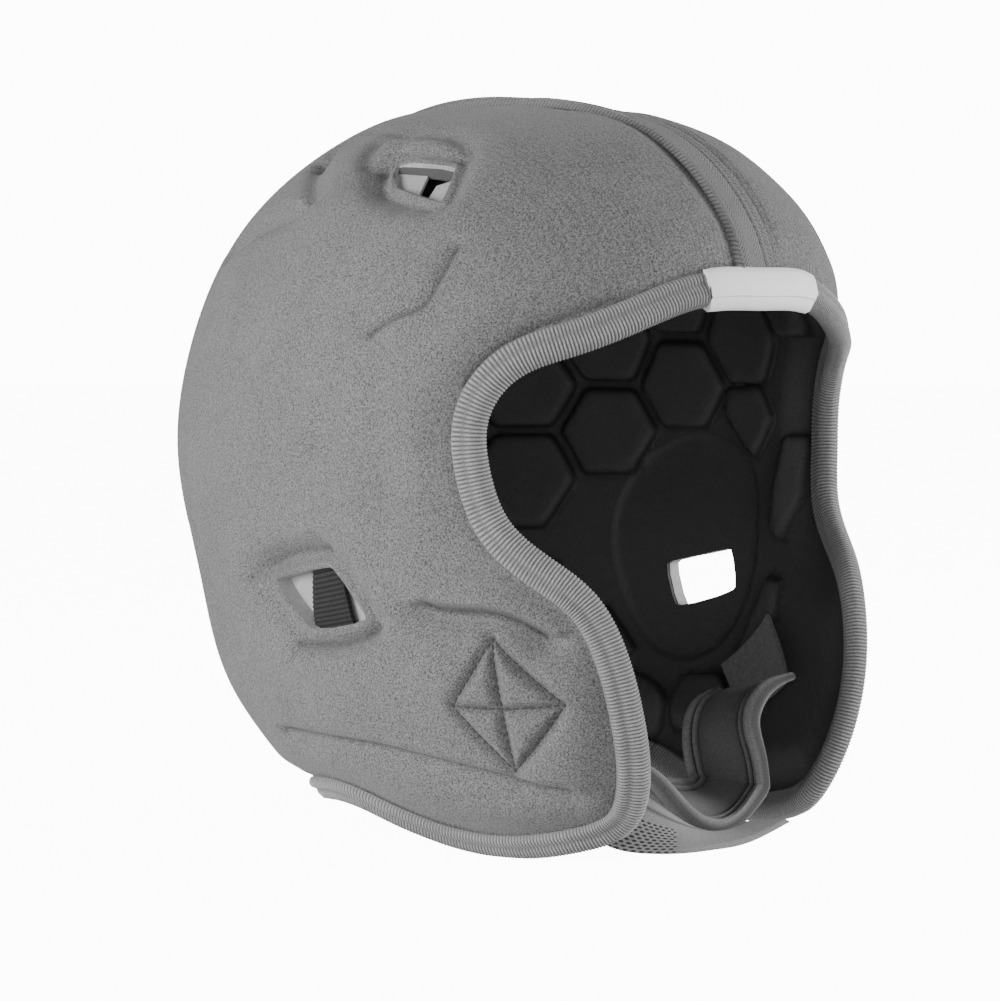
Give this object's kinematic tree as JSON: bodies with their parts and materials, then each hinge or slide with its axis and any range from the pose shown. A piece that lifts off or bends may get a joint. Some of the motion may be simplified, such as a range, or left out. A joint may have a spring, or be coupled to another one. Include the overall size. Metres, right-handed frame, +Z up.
{
  "type": "soft padded sports headgear",
  "caption": "Soft padded headgear for flag football: heathered foam shell with side vents, ribbed rim binding, black hexagon-padded liner, crown tape and an unfastened padded chin strap",
  "frame": {"origin": "middle of the footprint, on the surface that the rim stands on", "axes": "+Z up through the crown, the face opening towards -Y, the wearer's left ear towards +X"},
  "size_m": [0.1908, 0.2236, 0.2271],
  "materials": {
    "shell_knit": "grey heathered knit over foam, matt",
    "crown_tape": "herringbone tape",
    "edge_binding": "ribbed knit binding",
    "brow_label": "white woven tab, left blank",
    "liner": "black brushed lining over moulded foam pads",
    "vent_web": "dark ribbed webbing",
    "loop_patch": "looped fastening pile",
    "strap": "dark knit over padding, piped edges",
    "cup": "grey spacer mesh"
  },
  "bodies": {
    "root": {"shell_left": "shell_knit", "shell_right": "shell_knit", "crown_tape": "crown_tape", "edge_binding": "edge_binding", "brow_label": "brow_label", "liner_left": "liner", "liner_right": "liner", "vent_web_right": "vent_web", "loop_patch": "loop_patch", "chin_strap": "strap", "chin_cup": "cup"}
  },
  "joints": []
}
